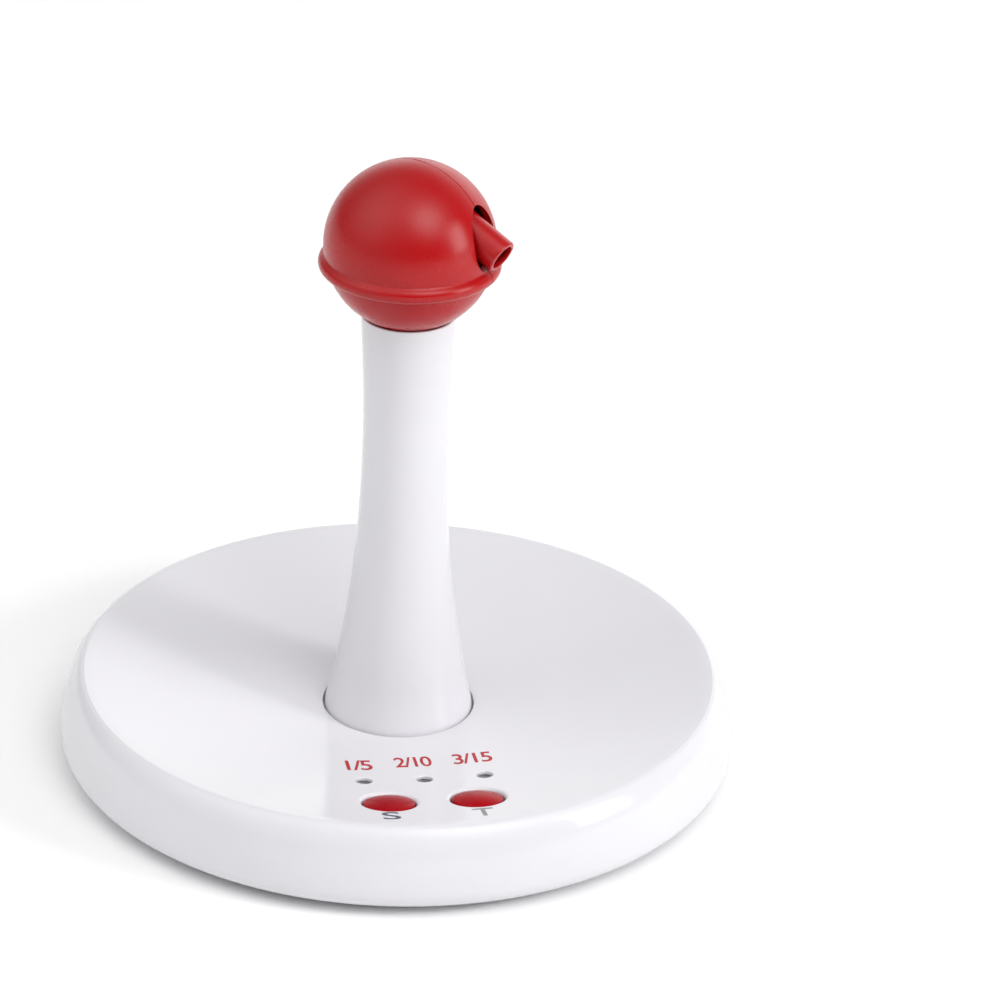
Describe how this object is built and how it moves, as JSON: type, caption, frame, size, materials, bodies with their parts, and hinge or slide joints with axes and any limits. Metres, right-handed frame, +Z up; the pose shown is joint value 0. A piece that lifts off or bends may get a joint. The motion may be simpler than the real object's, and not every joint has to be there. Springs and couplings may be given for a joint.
{
  "type": "automatic cat laser toy",
  "caption": "Free-standing cat toy: a round dished base with two push buttons and indicator lamps, a flared column, and a turning ball head with a slanting laser tube.",
  "frame": {"origin": "middle of the base's outline, on the plane of the feet's undersides", "axes": "+Z up, along the axis about which the head turns; -Y towards the side with the push buttons"},
  "size_m": [0.2, 0.2, 0.1874],
  "materials": {
    "white_shell": "gloss",
    "white_plain": "satin",
    "red_ball": "semi-gloss",
    "red_button": "gloss",
    "rubber": "matt",
    "steel": "satin",
    "spring_steel": "nickel plated",
    "cell_jacket": "satin",
    "board": "solder resist",
    "black_plastic": "matt",
    "blue_sleeve": "gloss",
    "lamp_clear": "clear",
    "natural_nylon": "satin",
    "brass": "satin",
    "copper": "bright",
    "wire_jacket": "satin",
    "lens": "clear"
  },
  "bodies": {
    "base": {"base_shell": "white_shell", "base_plate": "white_plain", "cell_1": "cell_jacket", "cell_2": "cell_jacket", "cell_3": "cell_jacket", "cell_springs": "spring_steel", "contact_left": "spring_steel", "contact_right": "spring_steel", "foot_1": "rubber", "foot_2": "rubber", "foot_3": "rubber", "foot_4": "rubber", "base_screws": "steel", "control_board": "board", "board_screws": "steel", "control_chip": "black_plastic", "board_capacitor": "blue_sleeve", "wire_plug": "natural_nylon", "lamp_1": "lamp_clear", "lamp_2": "lamp_clear", "lamp_3": "lamp_clear", "switch_speed": "black_plastic", "switch_time": "black_plastic", "column": "white_shell", "column_screws": "steel", "motor_can": "steel", "motor_cap": "black_plastic", "motor_terminals": "brass", "motor_screws": "steel", "gear_case": "natural_nylon", "gear_lid": "natural_nylon", "drive_screws": "steel", "arbor_pin": "steel", "output_bush": "brass", "brush_block": "black_plastic", "brushes": "copper", "motor_wires": "wire_jacket", "brush_wires": "wire_jacket", "cell_wires": "wire_jacket"},
    "door": {"battery_door": "white_plain"},
    "speed_button": {"plunger_speed": "black_plastic", "button_speed": "red_button"},
    "time_button": {"plunger_time": "black_plastic", "button_time": "red_button"},
    "rotor": {"motor_shaft": "steel", "motor_pinion": "brass"},
    "middle_gear": {"compound_gear": "natural_nylon"},
    "head": {"output_gear": "natural_nylon", "output_shaft": "steel", "ball_front": "red_ball", "ball_back": "red_ball", "ball_screws": "steel", "spindle_hub": "natural_nylon", "hub_screws": "steel", "slip_disc": "board", "slip_tracks": "copper"},
    "laser": {"laser_tube": "red_ball", "laser_module": "brass", "laser_lens": "lens", "laser_board": "board"}
  },
  "joints": [
    {"name": "head_spin", "type": "hinge", "parent": "base", "child": "head", "pos_m": [0, 0, 0.13268], "axis": [0, 0, 1], "continuous": true},
    {"name": "middle_gear_spin", "type": "hinge", "parent": "base", "child": "middle_gear", "pos_m": [0.00478, 0, 0.12], "axis": [0, 0, 1], "continuous": true},
    {"name": "rotor_spin", "type": "hinge", "parent": "base", "child": "rotor", "pos_m": [0, 0, 0.11], "axis": [0, 0, 1], "continuous": true},
    {"name": "laser_tilt", "type": "hinge", "parent": "head", "child": "laser", "pos_m": [0.00571, -0.00046, 0.17671], "axis": [-0.673, -0.7396, 0], "range_deg": [0, 6]},
    {"name": "speed_press", "type": "slide", "parent": "base", "child": "speed_button", "axis": [0, -0.1874, -0.9823], "range_m": [0, 0.0005], "stiffness_N_per_m": 1500, "springref_m": -0.0003},
    {"name": "time_press", "type": "slide", "parent": "base", "child": "time_button", "axis": [0, -0.1874, -0.9823], "range_m": [0, 0.0005], "stiffness_N_per_m": 1500, "springref_m": -0.0003},
    {"name": "door_hinge", "type": "hinge", "parent": "base", "child": "door", "pos_m": [0, 0.048, 0.0026], "axis": [-1, 0, 0], "range_deg": [0, 60]}
  ],
  "couplings": [
    {"joint": "middle_gear_spin", "follows": "head_spin", "ratio": -3},
    {"joint": "rotor_spin", "follows": "head_spin", "ratio": 9}
  ]
}
